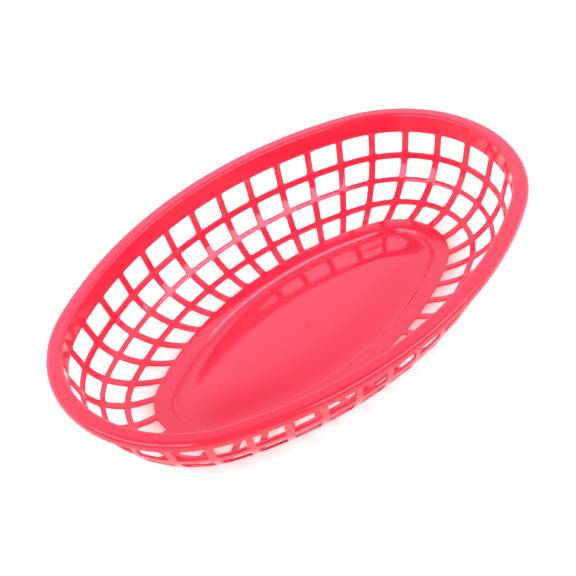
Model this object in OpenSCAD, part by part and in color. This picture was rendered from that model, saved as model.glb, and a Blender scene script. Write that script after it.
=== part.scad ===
// Oval fast food basket, moulded in one piece of plastic.
// The plan is an oval of four arcs, and every level of the shell is a parallel of the rim.
// The shell is one section carried round that oval, and the lattice is cut from it as
// rows of windows, spaced evenly along each level. The floor is slightly crowned.
// The origin is on the table under the middle of the basket; its length lies along X.

/* [Overall] */
// Length over the rim
length = 238; // [200:1:300]
// Width over the rim
width = 154; // [140:1:170]
// Height from the table to the top of the rim
height = 42; // [38:0.5:60]
// Radius of the rounded ends in plan, at the rim
end_r = 63; // [58:0.5:68]

/* [Wall] */
// Thickness of the wall and the ledge
wall_t = 1.2; // [1:0.1:1.4]
// Radius of the curve that carries the ledge up into the wall
bowl_r = 28.6; // [25:0.1:31]
// Lean of the upper wall, measured from the table
wall_angle = 73.5; // [70:0.5:80]
// Height of the plain band between the windows and the rim
band_h = 7.5; // [6:0.1:9]
// Lean of that band
band_angle = 86; // [80:0.5:90]

/* [Rim] */
// Radius of the rim's rounded inner edge
lip_r = 1.5; // [1.5:0.1:2]
// Radius of the rim's rounded outer edge
edge_r = 2.5; // [1.5:0.1:3]
// Width of the flat between them
lip_flat = 3.1; // [1:0.1:4]
// Slope of the flat, outwards and down
lip_slope = 4; // [0:1:20]
// Length of the skirt below the outer edge
lip_skirt = 1.5; // [0.5:0.1:3]

/* [Floor] */
// Thickness of the floor at its edge
floor_t = 1.2; // [1:0.1:1.6]
// Rise of the floor from its edge to its middle
floor_crown = 2; // [0.4:0.1:2.4]
// Clear height under the ledge round the floor
ledge_rise = 2.2; // [2:0.1:3.5]
// Width of the flat ledge, from the foot of the wall to the step
ledge_w = 7.7; // [5:0.1:10]
// Height of the bead along the ledge's inner edge
bead_h = 0.4; // [0.1:0.1:0.8]
// Width of the bead
bead_w = 2.4; // [1.6:0.1:4]
// Rounding of the step's two edges
step_r = 0.5; // [0.2:0.1:0.6]

/* [Lattice] */
// Windows in a quarter of each row
quarter_windows = 9; // [7:1:11]
// Width of the upright ribs
rib_w = 3.2; // [2.4:0.1:4.5]
// Width of the lowest ring
low_ring_w = 2.7; // [1.8:0.1:4]
// Width of the middle ring
mid_ring_w = 2.4; // [1.8:0.1:4]
// Width of the ring under the top row
top_ring_w = 3; // [1.8:0.1:4]
// Height of the lowest windows
low_window_h = 9.8; // [7:0.1:12]
// Height of the two middle rows of windows
mid_window_h = 8.8; // [6:0.1:10]
// Height of the top windows
top_window_h = 10.2; // [6:0.1:13]
// Height up the wall at which the lowest windows start
low_start = 0.2; // [-2:0.1:2]
// Rounding of the window corners
corner_r = 1; // [0.6:0.1:2]

/* [Hidden] */
end_steps = 9;
side_steps = 7;
bowl_steps = 5;
outer_edge_steps = 3;
inner_edge_steps = 1;
step_steps = 2;
crown_steps = 3;

// Plan of the rim: end arcs about (end_c, 0), side arcs about (0, -side_c)
end_c = length / 2 - end_r;
side_r = (pow(end_c, 2) + pow(width / 2, 2) - pow(end_r, 2)) / (2 * (width / 2 - end_r));
side_c = side_r - width / 2;
end_sweep = atan2(side_c, end_c);
side_sweep = 90 - end_sweep;

// Section, as the middle line of the wall: x is negative inwards from the rim
lip_mid = lip_r - wall_t / 2;
ledge_z = ledge_rise + wall_t / 2;
flat_normal = [sin(lip_slope), cos(lip_slope)];
to_inner = lip_flat * [-cos(lip_slope), sin(lip_slope)] + (edge_r - lip_r) * flat_normal;
outer_edge = [-edge_r, height - lip_r - to_inner[1]];
inner_edge = outer_edge + to_inner;
top_x = inner_edge[0] - lip_mid * sin(band_angle);
top_z = inner_edge[1] + lip_mid * cos(band_angle);
band_z = top_z - band_h;
band_x = top_x - band_h / tan(band_angle);
bend_z = ledge_z + bowl_r * (1 - cos(wall_angle));
straight = (band_z - bend_z) / sin(wall_angle);
bend_x = band_x - straight * cos(wall_angle);
foot_x = bend_x - bowl_r * sin(wall_angle);
step_x = foot_x - ledge_w;
bowl_len = bowl_r * wall_angle * PI / 180;

// Rows of windows as [lower edge, upper edge], measured up the wall from its foot
row_low = [low_start, low_start + low_window_h];
row_2 = [row_low[1] + low_ring_w, row_low[1] + low_ring_w + mid_window_h];
row_3 = [row_2[1] + mid_ring_w, row_2[1] + mid_ring_w + mid_window_h];
row_top = [row_3[1] + top_ring_w, row_3[1] + top_ring_w + top_window_h];
rows = [row_low, row_2, row_3, row_top];

// Place on the wall's middle line at the distance q up from its foot
function lean(q) = q <= 0 ? 0 : q >= bowl_len ? wall_angle : q / bowl_r * 180 / PI;
function wall_x(q) = q <= 0 ? foot_x + q
    : q >= bowl_len ? bend_x + (q - bowl_len) * cos(wall_angle)
    : foot_x + bowl_r * sin(lean(q));
function wall_z(q) = q <= 0 ? ledge_z
    : q >= bowl_len ? bend_z + (q - bowl_len) * sin(wall_angle)
    : ledge_z + bowl_r * (1 - cos(lean(q)));

// Point of the level x that faces the heading a, from 0 at the right end to 90 at the back
function level_point(a, x) = a < end_sweep
    ? [end_c + (end_r + x) * cos(a), (end_r + x) * sin(a)]
    : [(side_r + x) * cos(a), (side_r + x) * sin(a) - side_c];

// Heading of the point that lies the share u along a quarter of the level x
function end_len(x) = (end_r + x) * end_sweep;
function side_len(x) = (side_r + x) * side_sweep;
function heading(u, x) = let (l = u * (end_len(x) + side_len(x)))
    l < end_len(x) ? l / (end_r + x) : end_sweep + (l - end_len(x)) / (side_r + x);
function place(u, q) = [each level_point(heading(u, wall_x(q)), wall_x(q)), wall_z(q)];

// Half of a rib's width as a share of the quarter at the distance q up the wall
function rib_share(q) = rib_w / 2 / ((end_len(wall_x(q)) + side_len(wall_x(q))) * PI / 180);

// The whole level x as points, anticlockwise from the right end
quarter_headings = [for (i = [0 : end_steps - 1]) i * end_sweep / end_steps,
    for (i = [0 : side_steps - 1]) end_sweep + i * side_sweep / side_steps];
headings = [for (a = quarter_headings) a,
    90, for (i = [len(quarter_headings) - 1 : -1 : 1]) 180 - quarter_headings[i]];
function level(x) = let (half = [for (a = headings)
        a <= 90 ? level_point(a, x) : [-level_point(180 - a, x)[0], level_point(180 - a, x)[1]]])
    [each half, for (p = half) -p];

// Arcs of the section as points [x, z]
function arc(cx, cz, radius, from, to, steps) = [for (i = [0 : steps])
    let (a = from + (to - from) * i / steps)
    [cx + radius * cos(a), cz + radius * sin(a)]];
function bowl_arc(radius) =
    arc(foot_x, ledge_z + bowl_r, radius, -90, wall_angle - 90, bowl_steps);
function band_foot(side) = let (turn = (wall_angle + band_angle) / 2)
    [band_x, band_z] + side / cos(band_angle - turn) * [-sin(turn), cos(turn)];
function lip_arcs(inset, steps) = [
    each arc(inner_edge[0], inner_edge[1], lip_r - inset, 90 + band_angle, 90, steps),
    inner_edge + (lip_r - inset) * flat_normal,
    each arc(outer_edge[0], outer_edge[1], edge_r - inset, 90 - lip_slope, 0, steps)];
function backwards(list) = [for (i = [len(list) - 1 : -1 : 0]) list[i]];

// Height of the crowned floor at the level x: steepest at its edge, flat in the middle
function crown_z(x) = let (rest = (width / 2 + x) / (width / 2 + step_x))
    floor_t + floor_crown * (1 - pow(rest, 2));

// The section from the middle of the floor's top, over the rim, to its underside
ledge_top = ledge_rise + wall_t;
floor_x = step_x - step_r;
bead_top = ledge_top + bead_h;
section = [
    for (i = [0 : crown_steps - 1])
        let (x = -0.98 * end_r + (floor_x + 0.98 * end_r) * i / crown_steps)
        [x, crown_z(x)],
    each arc(floor_x, floor_t + step_r, step_r, -90, 0, step_steps),
    each arc(step_x + step_r, bead_top - step_r, step_r, 180, 90, step_steps),
    [step_x + bead_w, ledge_top],
    each bowl_arc(bowl_r - wall_t / 2),
    band_foot(wall_t / 2),
    each lip_arcs(0, outer_edge_steps),
    [0, outer_edge[1] - lip_skirt],
    [-wall_t, outer_edge[1] - lip_skirt],
    each backwards(lip_arcs(wall_t, inner_edge_steps)),
    band_foot(-wall_t / 2),
    each backwards(bowl_arc(bowl_r + wall_t / 2)),
    [step_x + wall_t, ledge_rise],
    [step_x + wall_t, 0],
];

// Carries the section round the oval and closes it with a flat floor above and below
module shell() {
    rings = [for (p = section) [for (v = level(p[0])) [v[0], v[1], p[1]]]];
    n = len(rings[0]);
    polyhedron(
        points = [for (ring = rings) each ring],
        faces = [
            [for (k = [n - 1 : -1 : 0]) k],
            for (j = [0 : len(rings) - 2]) for (k = [0 : n - 1])
                [j * n + k, j * n + (k + 1) % n, (j + 1) * n + (k + 1) % n, (j + 1) * n + k],
            [for (k = [0 : n - 1]) (len(rings) - 1) * n + k]
        ]);
}

// Corners of a window in its own plane, across and up from its middle
function window_corners(i, row) =
    let (mid_q = (row[0] + row[1]) / 2,
         mid_u = (i + 0.5) / quarter_windows,
         a = heading(mid_u, wall_x(mid_q)),
         tilt = lean(mid_q),
         middle = place(mid_u, mid_q),
         across = [-sin(a), cos(a), 0],
         up = [cos(tilt) * cos(a), cos(tilt) * sin(a), sin(tilt)])
    [for (k = [[0, 0], [1, 0], [1, 1], [0, 1]])
        let (u = (i + k[0]) / quarter_windows + (1 - 2 * k[0]) * rib_share(row[k[1]]),
             p = place(u, row[k[1]]) - middle)
        [p * across, p * up]];

function toward(p, q, distance) = p + (q - p) * distance / norm(q - p);

// A window with rounded corners: each corner is cut short by a curve of three points
module window_shape(c) {
    polygon([for (i = [0 : 3])
        let (a = toward(c[i], c[(i + 3) % 4], corner_r),
             b = toward(c[i], c[(i + 1) % 4], corner_r))
        each [a, (a + b + 2 * c[i]) / 4, b]]);
}

module windows() {
    for (row = rows) for (i = [0 : quarter_windows - 1]) {
        mid_q = (row[0] + row[1]) / 2;
        mid_u = (i + 0.5) / quarter_windows;
        translate(place(mid_u, mid_q))
            rotate([0, 0, heading(mid_u, wall_x(mid_q))])
                rotate([0, -lean(mid_q), 0])
                    rotate([0, 0, 90]) mirror([0, 1, 0])
                        translate([0, 0, -wall_t - 1]) linear_extrude(2 * wall_t + 2)
                            window_shape(window_corners(i, row));
    }
}

module basket() {
    color("red") difference() {
        shell();
        for (mx = [0, 1]) for (my = [0, 1])
            mirror([mx, 0, 0]) mirror([0, my, 0]) windows();
    }
}

basket();
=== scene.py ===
from math import cos, degrees, pi, radians, sin, tan

import bmesh
import bpy
import numpy as np
from bpy.props import FloatProperty, FloatVectorProperty, IntProperty, PointerProperty
from bpy.types import Operator, Panel, PropertyGroup
from mathutils import Matrix, Vector


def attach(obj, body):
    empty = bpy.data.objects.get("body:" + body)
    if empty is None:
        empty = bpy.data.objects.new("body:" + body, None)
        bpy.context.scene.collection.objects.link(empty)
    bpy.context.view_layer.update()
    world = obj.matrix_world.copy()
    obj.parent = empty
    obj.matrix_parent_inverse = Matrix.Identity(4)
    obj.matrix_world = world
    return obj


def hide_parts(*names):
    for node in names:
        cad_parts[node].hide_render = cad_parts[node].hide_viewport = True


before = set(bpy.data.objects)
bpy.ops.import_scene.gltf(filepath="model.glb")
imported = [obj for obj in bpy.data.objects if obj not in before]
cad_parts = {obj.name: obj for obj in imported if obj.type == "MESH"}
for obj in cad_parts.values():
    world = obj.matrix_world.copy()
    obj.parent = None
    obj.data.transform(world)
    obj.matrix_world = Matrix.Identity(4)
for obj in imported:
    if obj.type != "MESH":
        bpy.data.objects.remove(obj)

bl_info = {
    "name": "Oval Food Basket",
    "version": (1, 0, 0),
    "blender": (4, 5, 0),
    "location": "View3D > Sidebar > Basket",
    "description": "Builds the skin of a moulded oval basket, its plastic and a white studio",
    "category": "Add Mesh",
}


# Settings

class BasketSize(PropertyGroup):
    """Real sizes of the basket."""

    length: FloatProperty(
        name="Length", description="Length over the rim",
        default=0.238, min=0.2, max=0.3, unit="LENGTH")
    width: FloatProperty(
        name="Width", description="Width over the rim",
        default=0.154, min=0.14, max=0.17, unit="LENGTH")
    height: FloatProperty(
        name="Height", description="Height from the table to the top of the rim",
        default=0.042, min=0.038, max=0.06, unit="LENGTH")
    end_r: FloatProperty(
        name="End Radius", description="Radius of the rounded ends in plan",
        default=0.063, min=0.058, max=0.068, unit="LENGTH")
    wall_t: FloatProperty(
        name="Wall", description="Thickness of the wall and the ledge",
        default=0.0012, min=0.001, max=0.0014, unit="LENGTH")
    bowl_r: FloatProperty(
        name="Bowl Radius", description="Radius of the curve from the ledge up into the wall",
        default=0.0286, min=0.025, max=0.031, unit="LENGTH")
    wall_angle: FloatProperty(
        name="Wall Angle", description="Lean of the upper wall, measured from the table",
        default=radians(73.5), min=radians(70), max=radians(80), subtype="ANGLE")
    band_h: FloatProperty(
        name="Band Height", description="Height of the plain band under the rim",
        default=0.0075, min=0.006, max=0.009, unit="LENGTH")
    band_angle: FloatProperty(
        name="Band Angle", description="Lean of that band, measured from the table",
        default=radians(86), min=radians(80), max=radians(90), subtype="ANGLE")
    lip_r: FloatProperty(
        name="Inner Edge Radius", description="Radius of the rim's rounded inner edge",
        default=0.0015, min=0.0015, max=0.002, unit="LENGTH")
    edge_r: FloatProperty(
        name="Outer Edge Radius", description="Radius of the rim's rounded outer edge",
        default=0.0025, min=0.0015, max=0.003, unit="LENGTH")
    lip_flat: FloatProperty(
        name="Rim Flat", description="Width of the flat between the rim's two edges",
        default=0.0031, min=0.001, max=0.004, unit="LENGTH")
    lip_slope: FloatProperty(
        name="Rim Slope", description="Slope of the rim's flat, outwards and down",
        default=radians(4), min=0, max=radians(20), subtype="ANGLE")
    lip_skirt: FloatProperty(
        name="Rim Skirt", description="Length of the skirt below the rim's outer edge",
        default=0.0015, min=0.0005, max=0.003, unit="LENGTH")
    ledge_rise: FloatProperty(
        name="Ledge Rise", description="Clear height under the ledge round the floor",
        default=0.0022, min=0.002, max=0.0035, unit="LENGTH")
    ledge_w: FloatProperty(
        name="Ledge Width", description="Width of the flat ledge",
        default=0.0077, min=0.005, max=0.01, unit="LENGTH")
    slope_w: FloatProperty(
        name="Step Slope", description="Width of the sloped face at the top of the step",
        default=0.0011, min=0.0006, max=0.0016, unit="LENGTH")
    foot_w: FloatProperty(
        name="Step Foot", description="Width of the rounded foot between the step and the floor",
        default=0.0018, min=0.0005, max=0.003, unit="LENGTH")
    floor_t: FloatProperty(
        name="Floor", description="Thickness of the floor at its edge",
        default=0.0012, min=0.001, max=0.0016, unit="LENGTH")
    floor_crown: FloatProperty(
        name="Crown", description="Rise of the floor from its edge to its middle",
        default=0.0018, min=0.0004, max=0.0025, unit="LENGTH")
    crest: FloatProperty(
        name="Crest", description="Length of the line in the middle where the floor is highest",
        default=0.07, min=0.02, max=0.1, unit="LENGTH")
    windows: IntProperty(
        name="Windows", description="Windows in a quarter of each row",
        default=9, min=7, max=11, subtype="UNSIGNED")
    rib_w: FloatProperty(
        name="Rib Width", description="Width of the upright ribs",
        default=0.0032, min=0.0024, max=0.0045, unit="LENGTH")
    low_start: FloatProperty(
        name="Low Start", description="Distance up the wall at which the lowest windows start",
        default=0.0002, min=-0.002, max=0.002, unit="LENGTH")
    window_h: FloatVectorProperty(
        name="Window Heights", description="Heights of the four rows of windows, lowest first",
        size=4, default=(0.0098, 0.0088, 0.0088, 0.0102), unit="LENGTH")
    ring_w: FloatVectorProperty(
        name="Ring Widths", description="Widths of the three rings between the rows, lowest first",
        size=3, default=(0.0027, 0.0024, 0.003), unit="LENGTH")
    corner_r: FloatProperty(
        name="Corner Rounding", description="Rounding of the window corners",
        default=0.001, min=0.0006, max=0.002, unit="LENGTH")
    round_r: FloatProperty(
        name="Edge Rounding", description="Rounding of the edges of ribs, rings, step and skirt",
        default=0.00035, min=0.0001, max=0.0005, unit="LENGTH")


class BasketLook(PropertyGroup):
    """Colour and gloss of the plastic."""

    red: FloatVectorProperty(
        name="Plastic", description="Colour of the moulded plastic",
        subtype="COLOR", size=3, default=(0.88, 0.026, 0.055), min=0, max=1)
    # Painted shade at the gate mark: a deeper red that stands in for the mark's weaker reflection.
    gate_shade_red: FloatVectorProperty(
        name="Gate Mark", description="Colour of the mark that the mould's gate left on the floor",
        subtype="COLOR", size=3, default=(0.86, 0.004, 0.016), min=0, max=1)
    gate_shade_r: FloatProperty(
        name="Gate Radius", description="Radius of that mark, soft edge included",
        default=0.0023, min=0.0005, max=0.004, unit="LENGTH")
    gloss: FloatProperty(
        name="Gloss", description="Roughness where the plastic is glossiest",
        default=0.07, min=0.02, max=0.3, subtype="FACTOR")
    wear: FloatProperty(
        name="Wear", description="Roughness where handling has dulled the plastic",
        default=0.115, min=0.02, max=0.5, subtype="FACTOR")


# Form of the basket

class Form:
    """Oval plan and wall section that follow from the sizes.

    The plan of every level is an oval of four arcs, a parallel of the rim. A level is named by
    its distance x from the rim, negative inwards. A place round the basket is a share s that
    runs from 0 at the right end through 1 at the back, 2 at the left end and 3 at the front to 4.
    A place up the wall is the distance q along its middle line, from 0 at its foot.
    """

    def __init__(self, size):
        self.size = size

        # Plan: arcs round the ends and the sides that meet without a kink
        half = size.width / 2
        self.end_r = size.end_r
        self.end_c = size.length / 2 - size.end_r
        self.side_r = ((self.end_c ** 2 + half ** 2 - size.end_r ** 2)
                       / (2 * (half - size.end_r)))
        self.side_c = self.side_r - half
        self.end_sweep = np.arctan2(self.side_c, self.end_c)
        self.side_sweep = pi / 2 - self.end_sweep

        # Rim: centres [x, z] of the arcs of its two edges
        tilt = size.lip_slope
        wider = size.edge_r - size.lip_r
        self.inner_edge = (-size.edge_r - size.lip_flat * cos(tilt) + wider * sin(tilt),
                           size.height - size.lip_r)
        self.outer_edge = (-size.edge_r,
                           self.inner_edge[1] - size.lip_flat * sin(tilt) - wider * cos(tilt))

        # Wall: middle line from the rim's inner edge down to the step
        lip_mid = size.lip_r - size.wall_t / 2
        top_z = self.inner_edge[1] + lip_mid * cos(size.band_angle)
        self.top_x = self.inner_edge[0] - lip_mid * sin(size.band_angle)
        self.band_x = self.top_x - size.band_h / tan(size.band_angle)
        self.band_z = top_z - size.band_h
        self.angle = size.wall_angle
        self.bowl_r = size.bowl_r
        self.ledge_z = size.ledge_rise + size.wall_t / 2
        bend_z = self.ledge_z + size.bowl_r * (1 - cos(self.angle))
        straight = (self.band_z - bend_z) / sin(self.angle)
        self.foot_x = (self.band_x - straight * cos(self.angle)
                       - size.bowl_r * sin(self.angle))
        self.step_x = self.foot_x - size.ledge_w
        self.bowl_len = size.bowl_r * self.angle
        self.wall_len = self.bowl_len + straight

    def quarter(self, x):
        """Length of a quarter of the level x, the radius times the sweep of both its arcs."""
        return (self.end_r + x) * self.end_sweep + (self.side_r + x) * self.side_sweep

    def point(self, s, ref, x, z):
        """Points at the share s of the level ref, carried square to it onto the level x.

        The share is mirrored into the first quarter and becomes a length along the level ref.
        Divided by the radius of the end arc, and past that of the side arc, the length gives the
        heading. The point at that heading is mirrored back into its own quarter.
        """
        s = np.mod(s, 4)
        quadrant = np.floor(s)
        rest = s - quadrant
        u = np.where(quadrant % 2 == 1, 1 - rest, rest)
        along = u * self.quarter(ref)
        end = (self.end_r + ref) * self.end_sweep
        at_end = along < end
        heading = np.where(at_end, along / (self.end_r + ref),
                           self.end_sweep + (along - end) / (self.side_r + ref))
        px = np.where(at_end, self.end_c + (self.end_r + x) * np.cos(heading),
                      (self.side_r + x) * np.cos(heading))
        py = np.where(at_end, (self.end_r + x) * np.sin(heading),
                      (self.side_r + x) * np.sin(heading) - self.side_c)
        px = np.where((quadrant == 1) | (quadrant == 2), -px, px)
        py = np.where(quadrant >= 2, -py, py)
        return np.stack(np.broadcast_arrays(px, py, z), axis=-1)

    def middle_line(self, q):
        """Lean, level and height of the wall's middle line at the distance q up from its foot.

        Below the foot the line runs level along the ledge. Above it the lean is q over the bowl's
        radius, up to the lean of the upper wall, along which the line then runs straight.
        """
        lean = np.clip(q / self.bowl_r, 0, self.angle)
        below = np.minimum(q, 0)
        above = np.maximum(q - self.bowl_len, 0)
        x = self.foot_x + below + self.bowl_r * np.sin(lean) + above * cos(self.angle)
        z = self.ledge_z + self.bowl_r * (1 - np.cos(lean)) + above * sin(self.angle)
        return lean, x, z

    def wall(self, s, q, n):
        """Points of the wall at the share s and the distance q, n in from its middle line."""
        lean, x, z = self.middle_line(q)
        return self.point(s, x, x - n * np.sin(lean), z + n * np.cos(lean))

    def band_foot(self, n):
        """Foot [x, z] of the plain band on the wall's face n in from its middle line."""
        turn = (self.angle + self.size.band_angle) / 2
        reach = n / cos(self.size.band_angle - turn)
        return [self.band_x - reach * sin(turn), self.band_z + reach * cos(turn)]


def arc(cx, cz, radius, start, end, steps):
    """Points [x, z] of an arc, both ends among them, angles in degrees."""
    a = np.radians(np.linspace(start, end, steps + 1))
    return np.stack([cx + radius * np.cos(a), cz + radius * np.sin(a)], axis=-1)


def quads(rows, columns, closed):
    """Corner numbers of the quads of a grid, its columns closed into a ring or not."""
    i = np.arange(rows - 1)[:, None]
    j = np.arange(columns if closed else columns - 1)[None, :]
    k = (j + 1) % columns
    return np.stack([i * columns + j, i * columns + k,
                     (i + 1) * columns + k, (i + 1) * columns + j], axis=-1).reshape(-1, 4)


# Windows

CORNERS = [(1, 1), (-1, 1), (-1, -1), (1, -1)]
CORNER_STEPS = 6
SIDE_STEPS = 3
EDGE_STEPS = 3
AROUND = 4 * (CORNER_STEPS + SIDE_STEPS)


def cell_shares(half_window, half_cell, corner):
    """Places along one side of a cell, -1 to 1, that lie opposite the points of the outline."""
    straight = (half_window - corner) / half_cell
    inner = np.linspace(-straight, straight, SIDE_STEPS + 1)
    outer = np.linspace(straight, 1, CORNER_STEPS // 2 + 1)[1:]
    return np.concatenate([-outer[::-1], inner, outer])


def rounded_outline(half_w, half_h, radius):
    """Rounded rectangle as AROUND points anticlockwise from the middle of its first corner.

    Each side is the last half of one corner's arc, the straight part and the first half of the
    next corner's arc; the first side is the upper one, run from right to left.
    """
    def half_corner(k, start):
        """Half of the arc of the corner k, from start degrees past the arc's beginning."""
        x, y = CORNERS[k % 4]
        return arc(x * (half_w - radius), y * (half_h - radius), radius,
                   90 * k + start, 90 * k + start + 45, steps=CORNER_STEPS // 2)

    points = []
    for k in range(4):
        leave = half_corner(k, 45)
        arrive = half_corner(k + 1, 0)
        straight = np.linspace(leave[-1], arrive[0], SIDE_STEPS + 1)[1:-1]
        points += [leave, straight, arrive[:-1]]
    return np.concatenate(points)


def cell_rectangle(across, up):
    """Edge of a cell, AROUND points that match rounded_outline, from -1 to 1 both ways."""
    one = np.ones(len(across) - 1)
    return np.concatenate([
        np.stack([across[::-1][:-1], one], axis=-1),
        np.stack([-one, up[::-1][:-1]], axis=-1),
        np.stack([across[:-1], -one], axis=-1),
        np.stack([one, up[:-1]], axis=-1)])


def cell_middles(size):
    """Shares round the basket of the middles of a row's windows."""
    return (np.arange(4 * size.windows) + 0.5) / size.windows


def window_patch(form, row, cell, across):
    """Skin round the windows of one row, from the cells' edges inside to the same edges outside.

    Each ring of points lies between the cell's rectangle and the window's rounded outline,
    measured in metres across and up the wall. The rings run over the flat of the bars,
    round their edge of radius round_r, through the thickness and back; every point is then
    laid on the wall by its share round the basket and its distance up the middle line.
    """
    size = form.size
    half_cell = 0.5 / size.windows
    mid_q = (row[0] + row[1]) / 2
    half_h = (row[1] - row[0]) / 2
    half_w = half_cell * form.quarter(form.middle_line(mid_q)[1]) - size.rib_w / 2
    half_t = size.wall_t / 2

    up = cell_shares(half_h, (cell[1] - cell[0]) / 2, size.corner_r)
    edge = cell_rectangle(across, up)
    edge_s = edge[:, 0] * half_cell
    edge_q = (cell[0] + cell[1]) / 2 + edge[:, 1] * (cell[1] - cell[0]) / 2

    turn = np.linspace(0, pi / 2, EDGE_STEPS + 1)
    back = size.round_r * (1 - np.sin(turn))
    depth = half_t - size.round_r * (1 - np.cos(turn))
    rings = [(edge_s, edge_q, half_t)]
    for offset, n in zip(np.concatenate([back, back[::-1]]),
                         np.concatenate([depth, -depth[::-1]])):
        outline = rounded_outline(half_w + offset, half_h + offset, size.corner_r + offset)
        q = mid_q + outline[:, 1]
        quarter = form.quarter(form.middle_line(q)[1])
        narrow = (half_cell * quarter - size.rib_w / 2) / half_w
        rings.append((outline[:, 0] * narrow / quarter, q, n))
    rings.append((edge_s, edge_q, -half_t))

    s = np.stack([ring[0] for ring in rings])[None]
    q = np.stack([ring[1] for ring in rings])[None]
    n = np.array([ring[2] for ring in rings])[None, :, None]
    middles = cell_middles(size)
    points = form.wall(middles[:, None, None] + s, q, n)
    count = len(rings) * AROUND
    starts = np.arange(len(middles)) * count
    faces = quads(len(rings), AROUND, True)[None] + starts[:, None, None]
    return points.reshape(-1, 3), faces.reshape(-1, 4)


# Rim, ledge and floor

FLAT_POINTS = 5
FLOOR_RINGS = 31
UNDER_REACH = 0.98


def band(form, shares, refs, section):
    """Grid of a section [x, z] carried round the basket; refs are the levels of its shares."""
    section = np.asarray(section)
    refs = np.broadcast_to(refs, len(section))
    points = form.point(shares[None, :], refs[:, None], section[:, :1], section[:, 1:])
    return points.reshape(-1, 3), quads(len(section), len(shares), True)


def rim_patch(form, shares, q):
    """Skin of the band and the rim, from the distance q up the inside of the wall to outside.

    The section climbs the band, turns over the rim's rounded inner edge, runs along its flat,
    turns down over the outer edge to the end of the skirt and comes back underneath.
    """
    size = form.size
    half_t = size.wall_t / 2
    tip_r = size.round_r
    steep = degrees(size.band_angle)
    tilt = degrees(size.lip_slope)
    low = form.outer_edge[1] - size.lip_skirt
    lip = np.concatenate([
        arc(*form.inner_edge, size.lip_r, 90 + steep, 90 - tilt, steps=12),
        arc(*form.outer_edge, size.edge_r, 90 - tilt, 0, steps=14),
        arc(-tip_r, low + tip_r, tip_r, 0, -90, steps=3),
        arc(tip_r - size.wall_t, low + tip_r, tip_r, -90, -180, steps=3),
        arc(*form.outer_edge, size.edge_r - size.wall_t, 0, 90 - tilt, steps=6),
        arc(*form.inner_edge, size.lip_r - size.wall_t, 90 - tilt, 90 + steep, steps=4)])
    lean, x, z = form.middle_line(q)
    wall = [[x - n * sin(lean), z + n * cos(lean)] for n in (half_t, -half_t)]
    up = np.linspace(form.band_foot(half_t), lip[0], FLAT_POINTS)[:-1]
    down = np.linspace(lip[-1], form.band_foot(-half_t), FLAT_POINTS)[1:]
    climb = np.linspace(form.band_x, form.top_x, FLAT_POINTS)[:-1]
    refs = np.concatenate([[x], climb, np.full(len(lip), form.top_x), climb[::-1], [x]])
    return band(form, shares, refs, np.concatenate([wall[:1], up, lip, down, wall[1:]]))


def step_patch(form, shares, foot_x):
    """Skin of the step and the ledge, from the edge of the floor out to the wall's foot.

    The section leaves the floor level, climbs a quarter of an ellipse until it is upright, leans
    back over a face sloped at 45 degrees and ends along the ledge.
    """
    size = form.size
    round_r = size.round_r
    top = size.ledge_rise + size.wall_t
    cut = round_r * tan(pi / 8)
    slope_x = form.step_x + size.slope_w
    low_z = top - size.slope_w - cut
    foot = arc(0, 0, 1, -90, 0, steps=12)[:-1] * [size.foot_w, low_z - size.floor_t]
    section = np.concatenate([
        foot + [form.step_x - size.foot_w, low_z],
        arc(form.step_x + round_r, low_z, round_r, 180, 135, steps=3),
        arc(slope_x + cut, top - round_r, round_r, 135, 90, steps=3),
        np.linspace([slope_x + cut, top], [foot_x, top], FLAT_POINTS)[1:]])
    return band(form, shares, section[:, 0], section)


def crowned_floor(form, shares, x):
    """Rings that shrink from the level x, the floor's edge, to a line along its middle.

    A share v of the way in, a ring is 1 - v of the edge's width, and its length has gone the same
    share of the way to the crest's. The floor has risen by 1 - (1 - v)^4 * (1 + 4 * v) of its
    crown: it leaves the edge level, is steepest a quarter of the way in and ends level again.
    """
    size = form.size
    edge = form.point(shares, x, x, 0.0)
    v = np.linspace(0, 1, FLOOR_RINGS)[:, None]
    crest_share = size.crest / (size.length + 2 * x)
    along = edge[:, 0] * (1 - v * (1 - crest_share))
    across = edge[:, 1] * (1 - v)
    z = size.floor_t + size.floor_crown * (1 - (1 - v) ** 4 * (1 + 4 * v))
    points = np.stack(np.broadcast_arrays(along, across, z), axis=-1)
    return points.reshape(-1, 3), quads(len(v), len(shares), True)


def underside(form, shares, foot_x):
    """Skin under the ledge, the step and the floor, from the wall's foot inwards.

    The section runs level under the ledge, down round the step and level again on the table, as
    far in as the parallels of the rim reach; a flat face closes the rest.
    """
    size = form.size
    round_r = size.round_r
    under = size.ledge_rise
    out_x = form.step_x + size.wall_t
    section = np.concatenate([
        np.linspace([foot_x, under], [out_x + 2.5 * round_r, under], FLAT_POINTS)[:-1],
        arc(out_x + round_r, under - round_r, round_r, 90, 180, steps=3),
        arc(out_x - round_r, round_r, round_r, 0, -90, steps=3),
        np.linspace([out_x - 2 * round_r, 0], [-UNDER_REACH * size.end_r, 0], 4)])
    return band(form, shares, section[:, 0], section)


def wall_rows(form):
    """Lower and upper end of each row of windows, and the edges of their cells, up the wall."""
    size = form.size
    height = np.array(size.window_h[:])
    pitch = height[:-1] + np.array(size.ring_w[:])
    low = size.low_start + np.cumsum(np.append(0, pitch))
    high = low + height
    between = (high[:-1] + low[1:]) / 2
    edges = np.concatenate([[low[0] - size.rib_w / 2], between,
                            [form.wall_len - size.round_r]])
    return list(zip(low, high)), edges


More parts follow.
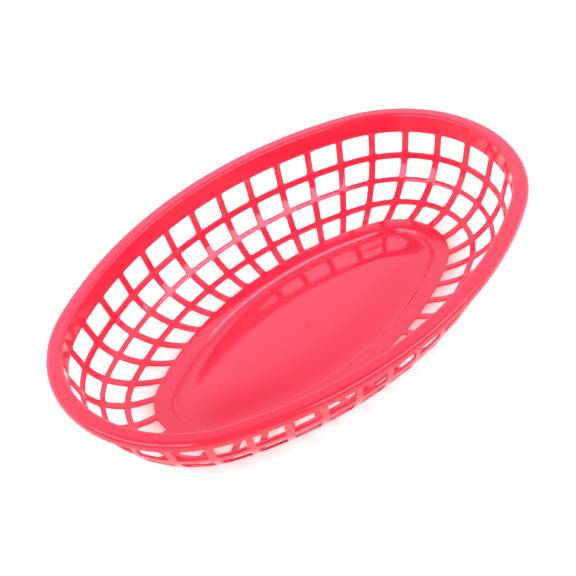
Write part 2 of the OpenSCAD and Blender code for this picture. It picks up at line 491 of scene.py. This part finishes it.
def basket_skin(size):
    """Vertices and quads of the whole skin, patch by patch, in metres."""
    form = Form(size)
    rows, edges = wall_rows(form)
    half_cell = 0.5 / size.windows
    half_cell_w = half_cell * form.quarter(form.middle_line(rows[1][0])[1])
    across = cell_shares(half_cell_w - size.rib_w / 2, half_cell_w, size.corner_r)
    shares = (cell_middles(size)[:, None] + across[None, :-1] * half_cell).ravel()
    foot_x = form.middle_line(edges[0])[1]
    patches = [window_patch(form, row, edges[k:k + 2], across) for k, row in enumerate(rows)]
    patches += [
        rim_patch(form, shares, edges[-1]),
        step_patch(form, shares, foot_x),
        crowned_floor(form, shares, form.step_x - size.foot_w),
        underside(form, shares, foot_x)]
    starts = np.cumsum([0] + [len(points) for points, _ in patches])
    vertices = np.concatenate([points for points, _ in patches])
    faces = np.concatenate([corners + start for (_, corners), start in zip(patches, starts)])
    return vertices, faces


WELD_REACH = 2e-6


def closed_object(name, vertices, faces):
    """Object at the origin, its seams welded and the hole left in its underside filled."""
    mesh = bpy.data.meshes.new(name)
    mesh.from_pydata(vertices, [], faces)
    work = bmesh.new()
    work.from_mesh(mesh)
    bmesh.ops.remove_doubles(work, verts=work.verts, dist=WELD_REACH)
    rims = [edge for edge in work.edges if edge.is_boundary]
    bmesh.ops.holes_fill(work, edges=rims, sides=0)
    bmesh.ops.recalc_face_normals(work, faces=work.faces)
    closed = all(edge.is_manifold for edge in work.edges)
    work.to_mesh(mesh)
    work.free()
    if not closed:
        raise RuntimeError(f"{name} isn't closed")
    mesh.shade_smooth()
    made = bpy.data.objects.new(name, mesh)
    bpy.context.scene.collection.objects.link(made)
    return made


# Materials

def new_material(name):
    """Empty node material, with its nodes, its links and its output."""
    material = bpy.data.materials.new(name)
    material.use_nodes = True
    nodes = material.node_tree.nodes
    nodes.clear()
    output = nodes.new("ShaderNodeOutputMaterial")
    return material, nodes, material.node_tree.links, output


def add_node(nodes, kind, inputs, **settings):
    """New node with the given settings and the given values of its inputs."""
    made = nodes.new(kind)
    for name, value in settings.items():
        setattr(made, name, value)
    for name, value in inputs.items():
        made.inputs[name].default_value = value
    return made


GATE_PLACE = (-0.001, -0.0018, 0)
GATE_CORE = 0.2


def plastic(look):
    """Glossy red moulded plastic.

    Broad patches of noise vary the gloss a little, as handling does, and fine noise gives the
    surface a faint unevenness. A small spot of deeper red near the middle of the floor is painted
    shade at the mark of the gate through which the mould was filled: it stands in for the mark's
    weaker reflection. Past its core it fades with the distance from its place, measured level.
    """
    material, nodes, links, output = new_material("Red Plastic")
    coords = nodes.new("ShaderNodeTexCoord")

    patches = add_node(nodes, "ShaderNodeTexNoise", {"Scale": 45, "Detail": 5})
    gloss = add_node(nodes, "ShaderNodeMapRange", {
        "From Min": 0.3, "From Max": 0.7, "To Min": look.gloss, "To Max": look.wear})
    links.new(coords.outputs["Object"], patches.inputs["Vector"])
    links.new(patches.outputs["Fac"], gloss.inputs["Value"])

    across = add_node(nodes, "ShaderNodeVectorMath", {1: (1, 1, 0)}, operation="MULTIPLY")
    distance = add_node(nodes, "ShaderNodeVectorMath", {1: GATE_PLACE}, operation="DISTANCE")
    gate_shade = add_node(nodes, "ShaderNodeMapRange", {
        "From Min": look.gate_shade_r, "From Max": GATE_CORE * look.gate_shade_r},
        interpolation_type="SMOOTHSTEP")
    # Painted shade: the gate mark's spot is mixed into the plastic as a deeper red.
    red = add_node(nodes, "ShaderNodeMix", {
        "A": (*look.red, 1), "B": (*look.gate_shade_red, 1)}, data_type="RGBA")
    links.new(coords.outputs["Object"], across.inputs[0])
    links.new(across.outputs["Vector"], distance.inputs[0])
    links.new(distance.outputs["Value"], gate_shade.inputs["Value"])
    links.new(gate_shade.outputs["Result"], red.inputs["Factor"])

    grain = add_node(nodes, "ShaderNodeTexNoise", {"Scale": 220, "Detail": 3})
    bump = add_node(nodes, "ShaderNodeBump", {"Strength": 0.05, "Distance": 0.0002})
    links.new(coords.outputs["Object"], grain.inputs["Vector"])
    links.new(grain.outputs["Fac"], bump.inputs["Height"])

    shader = add_node(nodes, "ShaderNodeBsdfPrincipled", {
        "IOR": 1.5, "Subsurface Weight": 0.35, "Subsurface Radius": (1.0, 0.12, 0.15),
        "Subsurface Scale": 0.002})
    links.new(red.outputs["Result"], shader.inputs["Base Color"])
    links.new(gloss.outputs["Result"], shader.inputs["Roughness"])
    links.new(bump.outputs["Normal"], shader.inputs["Normal"])
    links.new(shader.outputs["BSDF"], output.inputs["Surface"])
    return material


TABLE_COLOR = (1.0, 0.9, 0.72, 1)
# Painted light and shade on the table: its glow is weaker under the basket, a painted shadow, and
# stronger away from it, a painted pool of light.
TABLE_PAINTED_LIGHT = (0.26, 0.42)
PAINTED_SHADE_REACH = (0.119, 0.077)
PAINTED_SHADE_SHIFT = (0.1, 0.2, 0)
PAINTED_SHADE_EDGE = (0.65, 0.95)


def table_material():
    """White table with a glow of its own: a painted pool of light that is weaker under the basket,
    where it is painted shade and looks grey.

    The glow grows with the distance from the middle, measured in half lengths and half widths
    of the basket and shifted towards the front left, so that the painted shade is deepest there.
    The colour is a little warm, so that it looks white in the cool light.
    """
    material, nodes, links, output = new_material("White Table")
    coords = nodes.new("ShaderNodeTexCoord")
    scaled = add_node(nodes, "ShaderNodeVectorMath", {
        1: (1 / PAINTED_SHADE_REACH[0], 1 / PAINTED_SHADE_REACH[1], 1), 2: PAINTED_SHADE_SHIFT}, operation="MULTIPLY_ADD")
    distance = add_node(nodes, "ShaderNodeVectorMath", {}, operation="LENGTH")
    # Painted shade: the glow fades down towards the basket's footprint, deepest towards the front
    # left.
    fade = add_node(nodes, "ShaderNodeMapRange", {
        "From Min": PAINTED_SHADE_EDGE[0], "From Max": PAINTED_SHADE_EDGE[1],
        "To Min": TABLE_PAINTED_LIGHT[0], "To Max": TABLE_PAINTED_LIGHT[1]},
        interpolation_type="SMOOTHSTEP")
    glow = nodes.new("ShaderNodeEmission")
    paint = add_node(nodes, "ShaderNodeBsdfDiffuse", {"Color": TABLE_COLOR})
    both = nodes.new("ShaderNodeAddShader")
    links.new(coords.outputs["Object"], scaled.inputs[0])
    links.new(scaled.outputs["Vector"], distance.inputs[0])
    links.new(distance.outputs["Value"], fade.inputs["Value"])
    links.new(fade.outputs["Result"], glow.inputs["Strength"])
    links.new(paint.outputs["BSDF"], both.inputs[0])
    links.new(glow.outputs["Emission"], both.inputs[1])
    links.new(both.outputs["Shader"], output.inputs["Surface"])
    return material


BACKDROP_COLOR = (0.9, 1.0, 1.25, 1)
BACKDROP_GLOW = (1.42, 0.2)
BACKDROP_ARC = (50, 235)
BACKDROP_R = 1.3
BACKDROP_H = 3.0
FADE_START = 1.1


def backdrop_material():
    """Bright white sheet that fades out towards its top."""
    material, nodes, links, output = new_material("Backdrop")
    coords = nodes.new("ShaderNodeTexCoord")
    split = nodes.new("ShaderNodeSeparateXYZ")
    fade = add_node(nodes, "ShaderNodeMapRange", {
        "From Min": FADE_START, "From Max": BACKDROP_H,
        "To Min": BACKDROP_GLOW[0], "To Max": BACKDROP_GLOW[1]})
    glow = add_node(nodes, "ShaderNodeEmission", {"Color": BACKDROP_COLOR})
    links.new(coords.outputs["Object"], split.inputs["Vector"])
    links.new(split.outputs["Z"], fade.inputs["Value"])
    links.new(fade.outputs["Result"], glow.inputs["Strength"])
    links.new(glow.outputs["Emission"], output.inputs["Surface"])
    return material


WORLD_LIGHT = 0.3


def white_world():
    """World that is white to the camera and lights the basket faintly from all round."""
    world = bpy.data.worlds.new("Studio")
    world.use_nodes = True
    nodes = world.node_tree.nodes
    links = world.node_tree.links
    seen = nodes.new("ShaderNodeLightPath")
    level = add_node(nodes, "ShaderNodeMapRange", {"To Min": WORLD_LIGHT, "To Max": 1.0})
    background = nodes["Background"]
    background.inputs["Color"].default_value = (1, 1, 1, 1)
    links.new(seen.outputs["Is Camera Ray"], level.inputs["Value"])
    links.new(level.outputs["Result"], background.inputs["Strength"])
    return world


# Studio

CAMERA_AZIMUTH = radians(-38.012)
CAMERA_ELEVATION = radians(41.083)
CAMERA_ROLL = radians(-10.306)
CAMERA_DISTANCE = 0.6273
CAMERA_TARGET = Vector((0, 0, 0.0244))
CAMERA_LENS = 90.97
CAMERA_SENSOR = 36
PHOTO_WIDTH = 576
PHOTO_SHIFT = (-12.435, -1.269)


def add_camera():
    """Camera that looks at its target from the photograph's side, turned about its own axis."""
    az, el, roll = CAMERA_AZIMUTH, CAMERA_ELEVATION, CAMERA_ROLL
    back = Vector((sin(az) * cos(el), -cos(az) * cos(el), sin(el)))
    level = Vector((cos(az), sin(az), 0))
    steep = back.cross(level)
    right = cos(roll) * level + sin(roll) * steep
    up = cos(roll) * steep - sin(roll) * level
    place = CAMERA_TARGET + back * CAMERA_DISTANCE

    data = bpy.data.cameras.new("Camera")
    data.lens = CAMERA_LENS
    data.sensor_width = CAMERA_SENSOR
    data.shift_x = PHOTO_SHIFT[0] / PHOTO_WIDTH
    data.shift_y = PHOTO_SHIFT[1] / PHOTO_WIDTH
    data.clip_start = 0.01
    data.clip_end = 20
    camera = bpy.data.objects.new("Camera", data)
    camera.matrix_world = Matrix((
        (right.x, up.x, back.x, place.x),
        (right.y, up.y, back.y, place.y),
        (right.z, up.z, back.z, place.z),
        (0, 0, 0, 1)))
    bpy.context.scene.collection.objects.link(camera)
    bpy.context.scene.camera = camera
    return camera


LAMP_COLOR = (0.85, 1.0, 1.35)
LAMP_DISTANCE = 0.8


def add_strip(name, facing, start, end, low, high, strength):
    """Upright strip light on a line square to the azimuth facing.

    It runs from the azimuth start to end and from the elevation low to high, both elevations
    as seen at the azimuth facing, all in degrees. The strength is its radiance.
    """
    left = LAMP_DISTANCE * tan(radians(start - facing))
    right = LAMP_DISTANCE * tan(radians(end - facing))
    bottom = LAMP_DISTANCE * tan(radians(low))
    top = LAMP_DISTANCE * tan(radians(high))
    data = bpy.data.lights.new(name, "AREA")
    data.shape = "RECTANGLE"
    data.size = right - left
    data.size_y = top - bottom
    data.energy = pi * data.size * data.size_y * strength
    data.color = LAMP_COLOR
    turn = radians(facing)
    away = Vector((sin(turn), -cos(turn), 0))
    along = Vector((cos(turn), sin(turn), 0))
    lamp = bpy.data.objects.new(name, data)
    lamp.location = (away * LAMP_DISTANCE + along * (left + right) / 2
                     + Vector((0, 0, (top + bottom) / 2)))
    lamp.rotation_euler = away.to_track_quat("Z", "Y").to_euler()
    bpy.context.scene.collection.objects.link(lamp)
    return lamp


def backdrop_grid(steps):
    """Part of an upright cylinder round the basket, between two azimuths in degrees."""
    turn = np.radians(np.linspace(*BACKDROP_ARC, steps + 1))
    ring = np.stack([BACKDROP_R * np.sin(turn), -BACKDROP_R * np.cos(turn)], axis=-1)
    low = np.column_stack([ring, np.zeros(len(ring))])
    high = np.column_stack([ring, np.full(len(ring), BACKDROP_H)])
    return np.concatenate([low, high]), quads(2, len(ring), False)


TABLE_HALF = 0.5


def add_sheet(name, vertices, faces, material):
    """Object of the stage with the given faces and material."""
    mesh = bpy.data.meshes.new(name)
    mesh.from_pydata(vertices, [], faces)
    mesh.materials.append(material)
    made = bpy.data.objects.new(name, mesh)
    bpy.context.scene.collection.objects.link(made)
    return made


# Operators

class BASKET_OT_skin(Operator):
    """Build the skin of the basket in place of its plain solid"""

    bl_idname = "basket.skin"
    bl_label = "Basket Skin"

    def execute(self, context):
        scene = context.scene
        skin = closed_object("basket_skin", *basket_skin(scene.basket_size))
        normals = skin.modifiers.new("Flat Faces", "WEIGHTED_NORMAL")
        normals.keep_sharp = False
        skin.data.materials.append(plastic(scene.basket_look))
        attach(skin, "root")
        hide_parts("basket")
        return {"FINISHED"}


class BASKET_OT_studio(Operator):
    """Add the white table, the light and the camera"""

    bl_idname = "basket.studio"
    bl_label = "White Studio"

    def execute(self, context):
        scene = context.scene
        corners = [(TABLE_HALF * x, TABLE_HALF * y, 0) for x, y in CORNERS]
        table = add_sheet("table", corners, [(0, 1, 2, 3)], table_material())
        backdrop = add_sheet("backdrop", *backdrop_grid(steps=48), backdrop_material())
        scene.world = white_world()
        lamps = [
            add_strip("Right Strip", facing=0, start=-6, end=60, low=28, high=51, strength=4.6),
            add_strip("Left Strip", facing=-70, start=-136, end=-58, low=26, high=53,
                      strength=4.2),
        ]
        camera = add_camera()
        scene.view_settings.view_transform = "Standard"
        return {"FINISHED"}


class BASKET_PT_panel(Panel):
    """Sizes and finish of the basket, and its building steps"""

    bl_label = "Basket"
    bl_idname = "BASKET_PT_panel"
    bl_space_type = "VIEW_3D"
    bl_region_type = "UI"
    bl_category = "Basket"

    def draw(self, context):
        column = self.layout.column()
        for group in (context.scene.basket_size, context.scene.basket_look):
            for name in type(group).__annotations__:
                column.prop(group, name)
        column.operator("basket.skin")
        column.operator("basket.studio")


CLASSES = (BasketSize, BasketLook, BASKET_OT_skin, BASKET_OT_studio, BASKET_PT_panel)


def register():
    for cls in CLASSES:
        bpy.utils.register_class(cls)
    bpy.types.Scene.basket_size = PointerProperty(type=BasketSize)
    bpy.types.Scene.basket_look = PointerProperty(type=BasketLook)


def unregister():
    del bpy.types.Scene.basket_look
    del bpy.types.Scene.basket_size
    for cls in reversed(CLASSES):
        bpy.utils.unregister_class(cls)


def main():
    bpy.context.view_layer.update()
    register()
    bpy.ops.basket.skin()
    bpy.ops.basket.studio()


if __name__ == "__main__":
    main()
